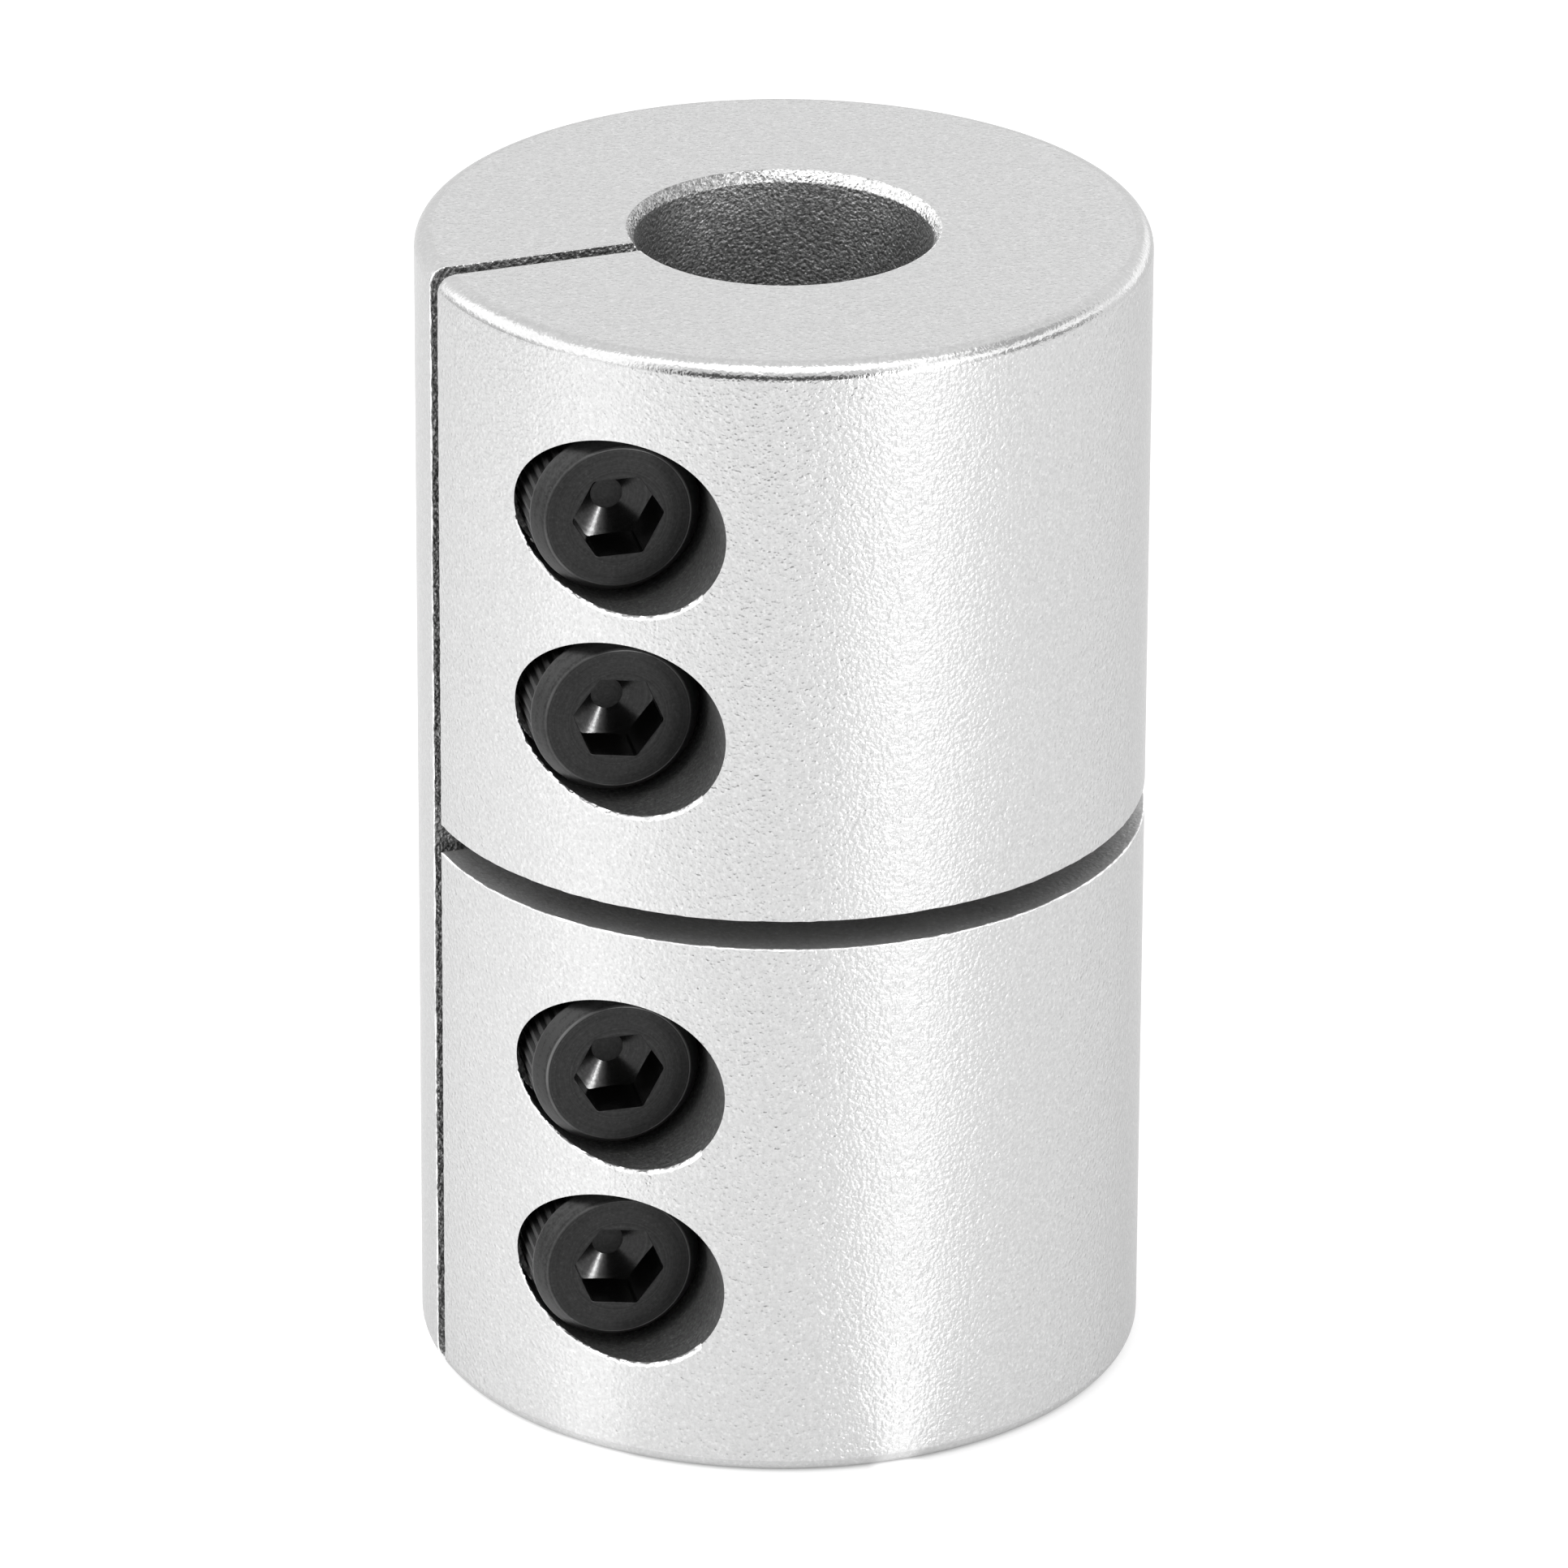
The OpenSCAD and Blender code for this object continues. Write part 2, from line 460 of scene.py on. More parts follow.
def roughness_of(face):
    """How ragged a broken edge is: most on the burred mouths of the pockets, then along the saw cuts."""
    centre = face.calc_center_median()
    if face.material_index == BURR and centre.y < -SLIT_W and abs(centre.z - CROSS_Z) > CROSS_W:
        return BURR_SIZE
    sawn = centre.xy.length > BODY_R - 2 * EDGE_BREAK and (face.material_index == BURR or abs(centre.y) < SLIT_W)
    return SAWN_ROUGHNESS if sawn else EDGE_ROUGHNESS


def on_wall_only(v, border, wander):
    """The part of a move that keeps a vertex on the body's wall: along it for an upright edge, else up or down."""
    runs = [edge.verts[1].co - edge.verts[0].co for edge in border]
    level = sum(run.xy.length / run.length for run in runs) / len(runs)
    if level < LEVEL_SHARE:
        aside = Vector((-v.co.y, v.co.x, 0)).normalized()
        return aside * wander.dot(aside)
    return Vector((0, 0, wander.z * level))


def roughened(faces):
    """Gives broken edges small irregularities.

    No vertex moves so far that a face around it turns over, or out of the body's cylinder. The seed and the order of
    the vertices, by their places, give every run the same shape.
    """
    noise.seed_set(ROUGHNESS_SEED)
    size = {f: roughness_of(f) for f in faces}
    moved = sorted({v for f in faces for v in f.verts}, key=lambda v: tuple(round(c, 4) for c in v.co))
    around = {v: v.link_faces[:] for v in moved}
    facing = {f: f.normal.copy() for some in around.values() for f in some}
    for v, some in around.items():
        start, reach = v.co.copy(), max(size.get(f, 0.0) for f in some)
        outermost = max(start.xy.length, BODY_R - BELOW_WALL)
        wander = noise.noise_vector(start / ROUGHNESS_LENGTH) * reach
        if not all(f in size for f in some):
            border = [e for e in v.link_edges if len({f in size for f in e.link_faces}) == 2]
            on_wall = abs(start.xy.length - BODY_R) < NEAR and RIM_R < start.z < BODY_LEN - RIM_R
            if reach == EDGE_ROUGHNESS or not on_wall or not border:
                continue
            wander = on_wall_only(v, border, wander)
        for share in MOVE_SHARES:
            v.co = start + wander * share
            v.co.xy *= min(1.0, outermost / v.co.xy.length)
            v.co.z = min(max(v.co.z, 0.0), BODY_LEN)
            for f in some:
                f.normal_update()
            if all(f.normal.dot(facing[f]) > LEAST_FACING for f in some):
                break


# ---- The screws

def socket_tool():
    """The hexagon socket's inside: flat walls, then a shallow cone down to a small flat."""
    wall_h = KEY_DEPTH - KEY_CONE_H * (KEY_TIP_R - KEY_W / 2) / (KEY_W / 2 - KEY_FLOOR_R)
    depth = KEY_DEPTH + KEY_CONE_H
    hexagon = bmesh.new()
    bmesh.ops.create_cone(hexagon, cap_ends=True, segments=6, radius1=KEY_TIP_R, radius2=KEY_TIP_R,
                          depth=depth + PAST, matrix=Matrix.Translation((0, 0, (PAST - depth) / 2))
                          @ Matrix.Rotation(math.radians(90), 4, "Z"))
    upright = [e for e in hexagon.edges if abs(e.verts[0].co.z - e.verts[1].co.z) > depth / 2]
    bmesh.ops.bevel(hexagon, geom=upright, offset=KEY_CORNER_R, offset_type="OFFSET", segments=KEY_CORNER_STEPS,
                    profile=0.5, affect="EDGES", clamp_overlap=True, material=-1)
    funnel = turned([(0, -depth), (KEY_FLOOR_R, -depth), (KEY_TIP_R, -wall_h), (KEY_TIP_R, 2 * PAST), (0, 2 * PAST)],
                    HEAD_STEPS)
    return placed(combined(hexagon, [funnel], "INTERSECT"), Matrix.Translation((0, 0, HEAD_H)))


def thread_ridge():
    """One long ridge that winds round the shank, up into its plain part."""
    root_r, crest_r = SHANK_R - THREAD_DEPTH, SHANK_R - RIDGE_TOP_GAP
    lower = [(root_r - RIDGE_SINK, -RIDGE_FOOT), (root_r, -RIDGE_ROOT), (crest_r, -RIDGE_CREST)]
    outline = lower + [(r, -z) for r, z in reversed(lower)]
    low = -SHANK_LEN - THREAD_PITCH / 2
    steps = int((-low - THREAD_START / 2) / THREAD_PITCH * THREAD_STEPS)
    bm = bmesh.new()
    ring = [bm.verts.new((r, 0.0, low + z * THREAD_PITCH)) for r, z in outline]
    face = bm.faces.new(ring)
    bmesh.ops.spin(bm, geom=[face] + face.edges[:] + ring, cent=(0, 0, 0), axis=(0, 0, 1),
                   dvec=(0, 0, THREAD_PITCH / THREAD_STEPS), angle=2 * math.pi * steps / THREAD_STEPS, steps=steps,
                   use_merge=False, use_duplicate=False)
    bmesh.ops.recalc_face_normals(bm, faces=bm.faces[:])
    return bm


def head_shape():
    """The head on z = 0, with its knurl, its shoulder and its hexagon socket."""
    foot, low, high = Vector((HEAD_R, 0)), Vector((HEAD_R, HEAD_H - HEAD_SHOULDER_H)), Vector((HEAD_FACE_R, HEAD_H))
    shoulder = eased(foot, low, high, HEAD_CORNER) + eased(low, high, Vector((0, HEAD_H)), HEAD_CORNER)
    knurl_top = low.y - KNURL_REST
    head = turned([(0, 0), (HEAD_R - HEAD_FOOT_BEVEL, 0), (HEAD_R, HEAD_FOOT_BEVEL), (HEAD_R, KNURL_START),
                   (HEAD_R, knurl_top)] + shoulder + [(0, HEAD_H)], HEAD_STEPS)
    step = 2 * math.pi / HEAD_STEPS
    on_side = [v for v in head.verts if v.co.xy.length > HEAD_R - NEAR]
    roots = [v for v in on_side if KNURL_START - NEAR < v.co.z < knurl_top + NEAR
             and round(math.atan2(v.co.y, v.co.x) / step) % KNURL_EVERY == 0]
    root_scale = 1 - KNURL_DEPTH / HEAD_R
    bmesh.ops.scale(head, vec=(root_scale, root_scale, 1.0), verts=roots)
    head = combined(head, [socket_tool()], "DIFFERENCE")
    break_edges(head, KEY_EDGE_BREAK, chosen=lambda e: min(v.co.z for v in e.verts) > HEAD_H - NEAR)
    return head


def shank_shape():
    """The threaded shank below z = 0, with its bevelled end and a short neck that joins it to the head."""
    root_r = SHANK_R - THREAD_DEPTH
    core = turned([(0, -SHANK_LEN - PAST), (root_r, -SHANK_LEN - PAST), (root_r, -THREAD_START - THREAD_RUN_OUT),
                   (SHANK_R, -THREAD_START), (SHANK_R, 0), (SHANK_R + NECK, NECK), (0, NECK)], SHANK_STEPS)
    trim_r = SHANK_R + PAST
    tip = turned([(0, -SHANK_LEN - 3 * PAST), (trim_r, -SHANK_LEN - 3 * PAST),
                  (trim_r, -SHANK_LEN + TIP_BEVEL + PAST), (SHANK_R - TIP_BEVEL, -SHANK_LEN), (0, -SHANK_LEN)],
                 SHANK_STEPS)
    return combined(combined(core, [thread_ridge()], "UNION"), [tip], "DIFFERENCE")


def screw_finish(face):
    """Which finish a face of a screw has: turned, the socket that the punch left smooth, or the knurl, whose darker
    grey is painted shade.
    """
    centre = face.calc_center_median()
    depth, r = HEAD_H - centre.z, centre.xy.length
    if BELOW_FACE < depth < KEY_DEPTH + KEY_CONE_H - NEAR and r < KEY_TIP_R + NEAR:
        return PUNCHED
    if HEAD_SHOULDER_H + KNURL_MARGIN < depth < HEAD_H - KNURL_MARGIN and r > HEAD_R - KNURL_BAND:
        return KNURLED
    return TURNED


# ---- Nodes

def wired(tree, kind, settings=None, inputs=None):
    """A node with its settings and inputs. An input is a value or another node's output."""
    node = tree.nodes.new(kind)
    for name, value in (settings or {}).items():
        setattr(node, name, value)
    for name, value in (inputs or {}).items():
        if isinstance(value, bpy.types.NodeSocket):
            tree.links.new(value, node.inputs[name])
        else:
            node.inputs[name].default_value = value
    return node


def effect_group(name, inputs, outputs):
    """An empty node group with float or vector sockets. Returns the group, its input and its output node."""
    group = bpy.data.node_groups.new(name, "ShaderNodeTree")
    for socket, (kind, default) in inputs.items():
        made = group.interface.new_socket(name=socket, in_out="INPUT", socket_type=kind)
        if default is not None:
            made.default_value = default
    for socket, kind in outputs.items():
        group.interface.new_socket(name=socket, in_out="OUTPUT", socket_type=kind)
    return group, group.nodes.new("NodeGroupInput").outputs, group.nodes.new("NodeGroupOutput").inputs


def math_node(tree, operation, a, b, clamp=False):
    """The result of one sum. Each side is a number or another node's output."""
    return wired(tree, "ShaderNodeMath", {"operation": operation, "use_clamp": clamp}, {0: a, 1: b}).outputs[0]


def apart(tree, a, b):
    """How far two values are apart."""
    return math_node(tree, "ABSOLUTE", math_node(tree, "SUBTRACT", a, b), 0.0)


def along(tree, vector, direction):
    """How far a place or direction reaches along a fixed direction."""
    return wired(tree, "ShaderNodeVectorMath", {"operation": "DOT_PRODUCT"},
                 {0: vector, 1: direction}).outputs["Value"]


def even_range(tree, value, start, end, low=0.0, high=1.0, curve="LINEAR"):
    """Goes from low to high while the value goes from start to end, and no further."""
    given = {"Value": value, "From Min": start, "From Max": end, "To Min": low, "To Max": high}
    return wired(tree, "ShaderNodeMapRange", {"interpolation_type": curve}, given).outputs["Result"]


def smooth_range(tree, value, start, end, low=0.0, high=1.0):
    """Goes smoothly from low to high while the value goes from start to end."""
    return even_range(tree, value, start, end, low, high, "SMOOTHSTEP")


def blend_range(tree, mask, low, high):
    """Stretches a 0 to 1 mask over low to high."""
    return even_range(tree, mask, 0.0, 1.0, low, high)


def grey(level):
    """A neutral colour."""
    return (level, level, level, 1.0)


def grey_range(tree, mask, low, high):
    """A colour between two colours or colour sockets, picked by a mask."""
    return wired(tree, "ShaderNodeMix", {"data_type": "RGBA"}, {0: mask, 6: low, 7: high}).outputs[2]


def azimuth_of(tree, vector):
    """The azimuth of a direction or place, in radians, counted from the camera's side."""
    aside, near = (along(tree, vector, toward(azimuth)) for azimuth in (90, 0))
    return math_node(tree, "ARCTAN2", aside, near)


def angle_off(tree, azimuth, middle_deg):
    """How far an azimuth lies from a panel's middle, the short way round."""
    off = apart(tree, azimuth, math.radians(middle_deg))
    return math_node(tree, "MINIMUM", off, math_node(tree, "SUBTRACT", 2 * math.pi, off))


# ---- Materials

def bead_blast_group():
    """Peened dimples: their height, a shade mask that darkens the pits as painted shade and brightens glinting facets
    as painted highlights, and slow cloudy patches.
    """
    group, given, out = effect_group(
        "bead_blast",
        {"Vector": ("NodeSocketVector", None), "Dimples per Metre": ("NodeSocketFloat", 4500.0),
         "Glint Share": ("NodeSocketFloat", 0.14)},
        {"Height": "NodeSocketFloat", "Shade": "NodeSocketFloat", "Cloud": "NodeSocketFloat"})
    pits = wired(group, "ShaderNodeTexNoise", {"noise_dimensions": "3D"},
                 {"Vector": given["Vector"], "Scale": given["Dimples per Metre"], "Detail": 1.0,
                  "Roughness": 0.5}).outputs["Fac"]
    facets_per_metre = math_node(group, "MULTIPLY", given["Dimples per Metre"], FACETS_PER_DIMPLE)
    facets = wired(group, "ShaderNodeTexVoronoi", {"feature": "F1"},
                   {"Vector": given["Vector"], "Scale": facets_per_metre})
    chance = wired(group, "ShaderNodeSeparateColor", None, {"Color": facets.outputs["Color"]}).outputs[0]
    dull_below = math_node(group, "SUBTRACT", 1.0, given["Glint Share"])
    glint = even_range(group, chance, dull_below, math_node(group, "ADD", dull_below, GLINT_SOFTNESS))
    depth_shade = even_range(group, pits, *PIT_RANGE, 0.0, PIT_SHADE)
    shade = math_node(group, "ADD", depth_shade, math_node(group, "MULTIPLY", glint, GLINT_SHADE), clamp=True)
    cloud = wired(group, "ShaderNodeTexNoise", None,
                  {"Vector": given["Vector"], "Scale": CLOUDS_PER_METRE, "Detail": 3.0,
                   "Roughness": 0.55}).outputs["Fac"]
    for name, value in (("Height", pits), ("Shade", shade), ("Cloud", cloud)):
        group.links.new(value, out[name])
    return group


def screw_place_group():
    """Distance from the nearest screw's axis, for marks that run round it."""
    group, given, out = effect_group("screw_place", {"Vector": ("NodeSocketVector", None)},
                                     {"Radius": "NodeSocketFloat"})
    skew = math.radians(SCREW_SKEW)
    across = (math.cos(skew), -math.sin(skew), 0.0)
    aside = math_node(group, "ADD", along(group, given["Vector"], across), SCREW_OFFSET * MM)
    height = wired(group, "ShaderNodeSeparateXYZ", None, {"Vector": given["Vector"]}).outputs["Z"]
    up = None
    for z in SCREW_Z:
        off = apart(group, height, z * MM)
        up = off if up is None else math_node(group, "MINIMUM", up, off)
    flat = wired(group, "ShaderNodeCombineXYZ", None, {"X": aside, "Y": up})
    length = wired(group, "ShaderNodeVectorMath", {"operation": "LENGTH"}, {0: flat.outputs["Vector"]})
    group.links.new(length.outputs["Value"], out["Radius"])
    return group


def new_material(name):
    """A material, its node tree and its shader."""
    material = bpy.data.materials.new(name)
    material.use_nodes = True
    tree = material.node_tree
    return material, tree, tree.nodes["Principled BSDF"]


def surfaced(tree, shader, colour, roughness, relief, depth):
    """Gives the shader its colour, its roughness and a relief whose depth is in metres."""
    bump = wired(tree, "ShaderNodeBump", None, {"Strength": 1.0, "Distance": depth, "Height": relief})
    for name, value in (("Base Color", colour), ("Roughness", roughness), ("Normal", bump.outputs["Normal"])):
        tree.links.new(value, shader.inputs[name])


def aluminium(name, blast, dull, bright, rough, rougher, dimples, depth, glints=0.14, edge_tint=1.0, lift=0.0,
              painted_shade_sides=()):
    """Aluminium whose grain comes from the blast: two greys, two roughnesses, grain size and depth.

    A lift raises the share of the brighter grey. A painted shade side darkens the grey towards one side as painted
    shade:
    (azimuth from the camera's side, distance from the axis where the painted shade starts and where it is full, share
    of the brighter grey that is left there).
    """
    material, tree, shader = new_material(name)
    place = wired(tree, "ShaderNodeTexCoord").outputs["Object"]
    grain = wired(tree, "ShaderNodeGroup", {"node_tree": blast},
                  {"Vector": place, "Dimples per Metre": dimples, "Glint Share": glints})
    shade = math_node(tree, "ADD", grain.outputs["Shade"], lift)
    # Painted shade: the grey darkens towards each of these sides, counted from the camera's side
    for azimuth, start, full, left in painted_shade_sides:
        share = smooth_range(tree, along(tree, place, toward(azimuth)), start * MM, full * MM, 1.0, left)
        shade = math_node(tree, "MULTIPLY", shade, share)
    shader.inputs["Metallic"].default_value = 1.0
    shader.inputs["Specular Tint"].default_value = grey(edge_tint)
    surfaced(tree, shader, grey_range(tree, shade, grey(dull), grey(bright)),
             blend_range(tree, grain.outputs["Cloud"], rough, rougher), grain.outputs["Height"], depth)
    return material


def black_oxide(name, blast, screw_place, base, rough, rougher, depth, marks, shoulder=1.0):
    """Black oxide on turned steel: near black, a soft oily gloss, and fine marks that run round the screw.

    The shoulder's value brightens the tone outside the head's flat face, as a painted sheen.
    """
    material, tree, shader = new_material(name)
    place = wired(tree, "ShaderNodeTexCoord").outputs["Object"]
    grain = wired(tree, "ShaderNodeGroup", {"node_tree": blast},
                  {"Vector": place, "Dimples per Metre": OXIDE_DIMPLES, "Glint Share": OXIDE_GLINTS}).outputs
    radius = wired(tree, "ShaderNodeGroup", {"node_tree": screw_place}, {"Vector": place}).outputs["Radius"]
    rings = wired(tree, "ShaderNodeTexNoise", {"noise_dimensions": "1D"},
                  {"W": radius, "Scale": MARKS_PER_METRE, "Detail": 2.0, "Roughness": 0.65}).outputs["Fac"]
    wear_and_sheen = math_node(tree, "MULTIPLY", rings, blend_range(tree, grain["Cloud"], 0.0, MARK_PATCHES))
    wear_and_sheen = math_node(tree, "ADD", math_node(tree, "MULTIPLY", wear_and_sheen, MARK_SHADE),
                     math_node(tree, "MULTIPLY", grain["Shade"], GRAIN_SHADE))
    # The shoulder outside the head's face gets a brighter tone, a painted sheen
    start, full = ((HEAD_FACE_R + reach) * MM for reach in SHOULDER_SHEEN_FADE)
    wear_and_sheen = math_node(tree, "MULTIPLY", wear_and_sheen, even_range(tree, radius, start, full, 1.0, shoulder))
    oxide = grey_range(tree, wear_and_sheen, *(grey(base * tone) for tone in OXIDE_TONES))
    # A thin ring at the face's edge, partly rubbed wear and partly a painted highlight
    off_edge = apart(tree, radius, HEAD_FACE_R * MM)
    near_edge = smooth_range(tree, off_edge, RUB_AND_CATCH_LIGHT_WIDTH / 2 * MM, RUB_AND_CATCH_LIGHT_WIDTH * MM, 1.0, 0.0)
    patches = smooth_range(tree, grain["Cloud"], *RUB_AND_CATCH_LIGHT_PATCHES)
    rub_and_catch_light = math_node(tree, "MULTIPLY", near_edge, patches)
    relief = math_node(tree, "ADD", math_node(tree, "MULTIPLY", rings, marks), grain["Height"])
    shader.inputs["Metallic"].default_value = OXIDE_METALLIC
    surfaced(tree, shader, grey_range(tree, rub_and_catch_light, oxide, grey(RUB_AND_CATCH_LIGHT_GREY)),
             blend_range(tree, grain["Cloud"], rough, rougher), relief, depth)
    return material


# ---- Camera, light and floor

def aim_camera():
    """Looks at the coupling from the photograph's side, through the same long lens."""
    elevation = math.radians(VIEW_ELEVATION)
    out = Vector(toward(0))
    backward = out * math.cos(elevation) + Vector((0, 0, math.sin(elevation)))
    right = Vector((0, 0, 1)).cross(out).normalized()
    up = backward.cross(right)
    look_at = (right * LOOK_RIGHT + Vector((0, 0, LOOK_HEIGHT))) * MM
    camera = bpy.data.objects.new("camera", bpy.data.cameras.new("camera"))
    camera.data.sensor_width = SENSOR_MM
    camera.data.lens = FOCAL_PX * SENSOR_MM / PHOTO_SIDE_PX
    camera.data.clip_start = CLIP_NEAR
    camera.data.clip_end = CLIP_FAR
    turn = Matrix((right, up, backward)).transposed() @ Matrix.Rotation(math.radians(VIEW_ROLL), 3, "Z")
    camera.matrix_world = Matrix.Translation(look_at + backward * VIEW_DISTANCE * MM) @ turn.to_4x4()
    bpy.context.scene.collection.objects.link(camera)
    bpy.context.scene.camera = camera


def softbox(name, azimuth, elevation, distance, size, watts):
    """An area light that looks at the coupling's middle. Azimuth is counted from the camera's side."""
    a, e = math.radians(VIEW_AZIMUTH + azimuth), math.radians(elevation)
    spot = Vector((math.cos(a) * math.cos(e), math.sin(a) * math.cos(e), math.sin(e))) * distance
    light = bpy.data.lights.new(name, "AREA")
    light.shape = "RECTANGLE"
    light.size, light.size_y = size
    light.energy = watts
    lamp = bpy.data.objects.new(name, light)
    lamp.location = spot + Vector((0, 0, BODY_LEN / 2 * MM))
    lamp.rotation_euler = spot.to_track_quat("Z", "Y").to_euler()
    lamp.visible_camera = False
    bpy.context.scene.collection.objects.link(lamp)


def glowing_floor():
    """A pale floor that glows with painted light, less under the coupling as painted shade. Each streak spreads from
    where the body, a round mirror, shows it as upright.
    """
    bm = bmesh.new()
    bmesh.ops.create_grid(bm, x_segments=1, y_segments=1, size=FLOOR_HALF_SIDE)
    floor = made_object(bm, "floor")
    material, tree, shader = new_material("pale_floor")
    place = wired(tree, "ShaderNodeTexCoord").outputs["Object"]
    from_axis = wired(tree, "ShaderNodeVectorMath", {"operation": "LENGTH"}, {0: place}).outputs["Value"]
    turned_left = math_node(tree, "DIVIDE", along(tree, place, toward(-90)), from_axis)
    glow = smooth_range(tree, turned_left, *(sine(turn) for turn in GLOW_TURNS), *FLOOR_GLOW)
    fade_start, fade_end, share_at_foot = STREAK_FADE
    streaks = smooth_range(tree, from_axis, fade_start * MM, fade_end * MM, share_at_foot, 1.0)
    for highlight, course, half, extra in FLOOR_STREAKS:
        behind = Vector(toward(course)) * math.cos(math.radians(highlight)) / 2
        apex = (Vector(toward(highlight)) - behind) * BODY_R * MM
        from_apex = wired(tree, "ShaderNodeVectorMath", {"operation": "SUBTRACT"}, {0: place, 1: tuple(apex)})
        azimuth = azimuth_of(tree, from_apex.outputs["Vector"])
        edges = (math.radians(half * part) for part in STREAK_EDGE)
        streak = smooth_range(tree, angle_off(tree, azimuth, course), *edges, extra, 0.0)
        glow = math_node(tree, "ADD", glow, math_node(tree, "MULTIPLY", streak, streaks))
    shade_start, shade_end, share_left = FOOT_SHADE
    beyond_foot = smooth_range(tree, from_axis, shade_start * MM, shade_end * MM, share_left, 1.0)
    glow = math_node(tree, "MULTIPLY", glow, beyond_foot)
    shader.inputs["Base Color"].default_value = grey(FLOOR_GREY)
    shader.inputs["Roughness"].default_value = FLOOR_ROUGHNESS
    shader.inputs["Emission Color"].default_value = grey(1.0)
    tree.links.new(glow, shader.inputs["Emission Strength"])
    floor.data.materials.append(material)


def grey_card():
    """A bent upright card that only reflections see."""
    bm = bmesh.new()
    start = Vector(toward(CARD_AZIMUTH - CARD_HALF_WIDTH)) * CARD_DISTANCE
    ends = [bm.verts.new(start + Vector((0, 0, z))) for z in CARD_HEIGHTS]
    edge = bm.edges.new(ends)
    bmesh.ops.spin(bm, geom=[edge] + ends, cent=(0, 0, 0), axis=(0, 0, 1), dvec=(0, 0, 0),
                   angle=math.radians(2 * CARD_HALF_WIDTH), steps=CARD_STEPS, use_merge=False, use_duplicate=False)
    bmesh.ops.scale(bm, vec=(MM, MM, MM), verts=bm.verts[:])
    standing = made_object(bm, "grey_card")
    material, _, shader = new_material("grey_card")
    shader.inputs["Base Color"].default_value = grey(CARD_GREY)
    shader.inputs["Roughness"].default_value = 1.0
    standing.data.materials.append(material)
    standing.visible_camera = standing.visible_diffuse = standing.visible_shadow = False


def studio():
    """A white room with dark and light panels, a grey card and one low strip light."""
    world = bpy.data.worlds.new("studio")
    world.use_nodes = True
    tree = world.node_tree
    direction = wired(tree, "ShaderNodeTexCoord").outputs["Generated"]
    height = wired(tree, "ShaderNodeSeparateXYZ", None, {"Vector": direction}).outputs["Z"]
    azimuth = azimuth_of(tree, direction)
    level = 1.0
    for middle, half, low, high, change in ROOM_PANELS.values():
        beside = smooth_range(tree, angle_off(tree, azimuth, middle), math.radians(half),
                              math.radians(half + PANEL_SOFT_DEG))
        mask = smooth_range(tree, height, sine(low - PANEL_SOFT_DEG), sine(low))
        if high + PANEL_SOFT_DEG <= 90:
            above = smooth_range(tree, height, sine(high), sine(high + PANEL_SOFT_DEG))
            mask = math_node(tree, "MULTIPLY", mask, math_node(tree, "SUBTRACT", 1.0, above))
        mask = math_node(tree, "MULTIPLY", mask, math_node(tree, "SUBTRACT", 1.0, beside))
        level = math_node(tree, "ADD", level, math_node(tree, "MULTIPLY", mask, change))
    level = math_node(tree, "MULTIPLY", math_node(tree, "MAXIMUM", level, LEAST_LEVEL), ROOM_LEVEL)
    background = tree.nodes["Background"]
    background.inputs["Color"].default_value = grey(1.0)
    tree.links.new(level, background.inputs["Strength"])
    bpy.context.scene.world = world
    softbox("right_strip", *STRIP_LIGHT)
    grey_card()


aim_camera()
glowing_floor()
studio()
bpy.context.scene.view_settings.view_transform = "Standard"

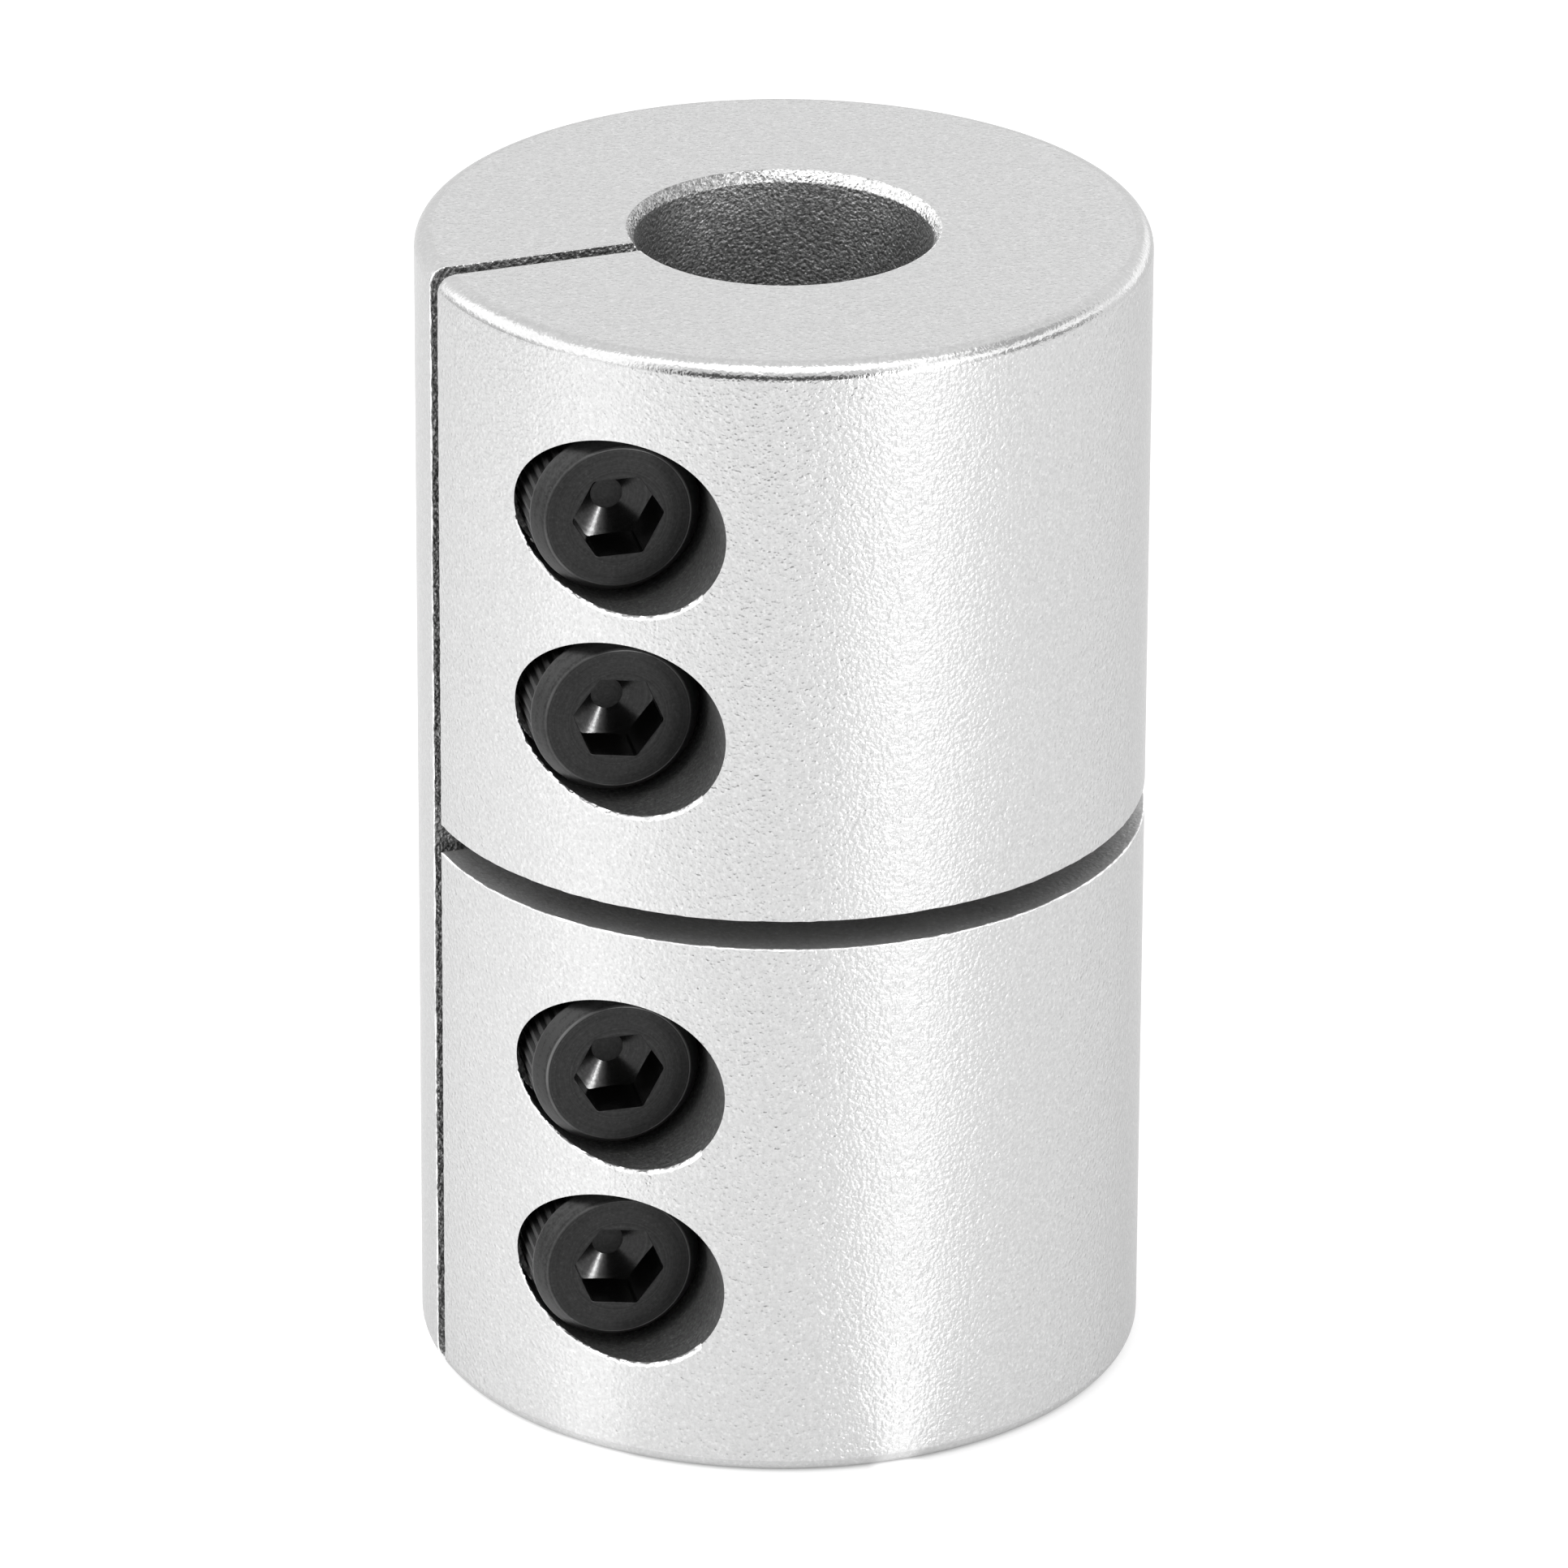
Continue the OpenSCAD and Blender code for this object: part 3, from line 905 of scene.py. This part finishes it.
# Each finish: its duller and brighter grey, least and most roughness, dimples per metre and their depth in metres
blast = bead_blast_group()
aluminium_finishes = [
    aluminium("blasted_aluminium", blast, 0.53, 0.68, 0.29, 0.33, 5000.0, 6.5e-5, edge_tint=0.75),
    aluminium("rounded_rim_aluminium", blast, 0.48, 0.60, 0.16, 0.24, 5000.0, 2.5e-5, edge_tint=0.75),
    # The chamfer's left rear and the bore's left and right are darkened by painted shade
    aluminium("chamfer_aluminium", blast, 0.05, 0.97, 0.24, 0.36, 5500.0, 9e-5, glints=0.4, lift=0.25,
              painted_shade_sides=((-125, 3.0, 7.4, 0.4),)),
    aluminium("reamed_bore_aluminium", blast, 0.22, 0.85, 0.45, 0.60, 5500.0, 9e-5, glints=0.2,
              painted_shade_sides=((-90, 4.0, 7.2, 0.2), (90, 4.0, 7.2, 0.3))),
    aluminium("sawn_slit_aluminium", blast, 0.12, 0.65, 0.45, 0.60, 5000.0, 1.2e-4, glints=0.2),
    aluminium("sawn_cross_slot_aluminium", blast, 0.48, 0.64, 0.45, 0.60, 4500.0, 3e-5),
    aluminium("milled_pocket_aluminium", blast, 0.24, 0.48, 0.40, 0.55, 5000.0, 4e-5),
    # The burr is brighter than the blasted outside: partly bare metal, partly a painted highlight
    aluminium("burred_edge_highlight_aluminium", blast, 0.70, 1.00, 0.45, 0.60, 3000.0, 1.2e-4, glints=0.6),
]
# Each finish: its grey, least and most roughness, depth of the relief in metres, share of the turning marks in it
screw_place = screw_place_group()
oxide_finishes = [
    black_oxide("black_oxide_steel", blast, screw_place, 0.026, 0.34, 0.46, 6e-6, 0.6, shoulder=2.0),
    black_oxide("black_oxide_socket", blast, screw_place, 0.028, 0.12, 0.18, 1e-6, 0.0),
    # The knurl's grey is darker than the rest of the screw, a painted shade on the head's side
    black_oxide("black_oxide_knurl_painted_shade", blast, screw_place, 0.008, 0.40, 0.50, 6e-6, 0.0),
]

shape = body_shape()
for face in shape.faces:
    face.smooth = True
    face.material_index = region(face)
split_sawn_edges(shape)
broken = (break_edges(shape, MOUTH_EDGE_BREAK, segments=3, chosen=on_burred_mouth)
          + break_edges(shape, EDGE_BREAK, chosen=off_pocket_mouth))
broken = [face for face in broken if face.is_valid]
for face in broken:
    face.smooth = True
    face.material_index = BURR if burred(face) else OUTSIDE
roughened(broken)
body = finished_piece(shape, "clamping_body", SHARP_DEG)
for finish in aluminium_finishes:
    body.data.materials.append(finish)
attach(body, "root")
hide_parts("body")

screw_blank = combined(head_shape(), [shank_shape()], "UNION")
for face in screw_blank.faces:
    face.smooth = True
    face.material_index = screw_finish(face)
for i in range(4):
    turn = Matrix.Rotation(math.radians(SCREW_TURN[i]), 4, "Z")
    seated = placed(screw_blank.copy(), on_screw_axis(i) @ Matrix.Translation((0, 0, SEAT_H)) @ turn)
    screw = finished_piece(seated, "socket_head_screw_%d" % (i + 1), SCREW_SHARP_DEG)
    for finish in oxide_finishes:
        screw.data.materials.append(finish)
    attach(screw, "root")
    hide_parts("cap_screw_%d" % (i + 1))
screw_blank.free()
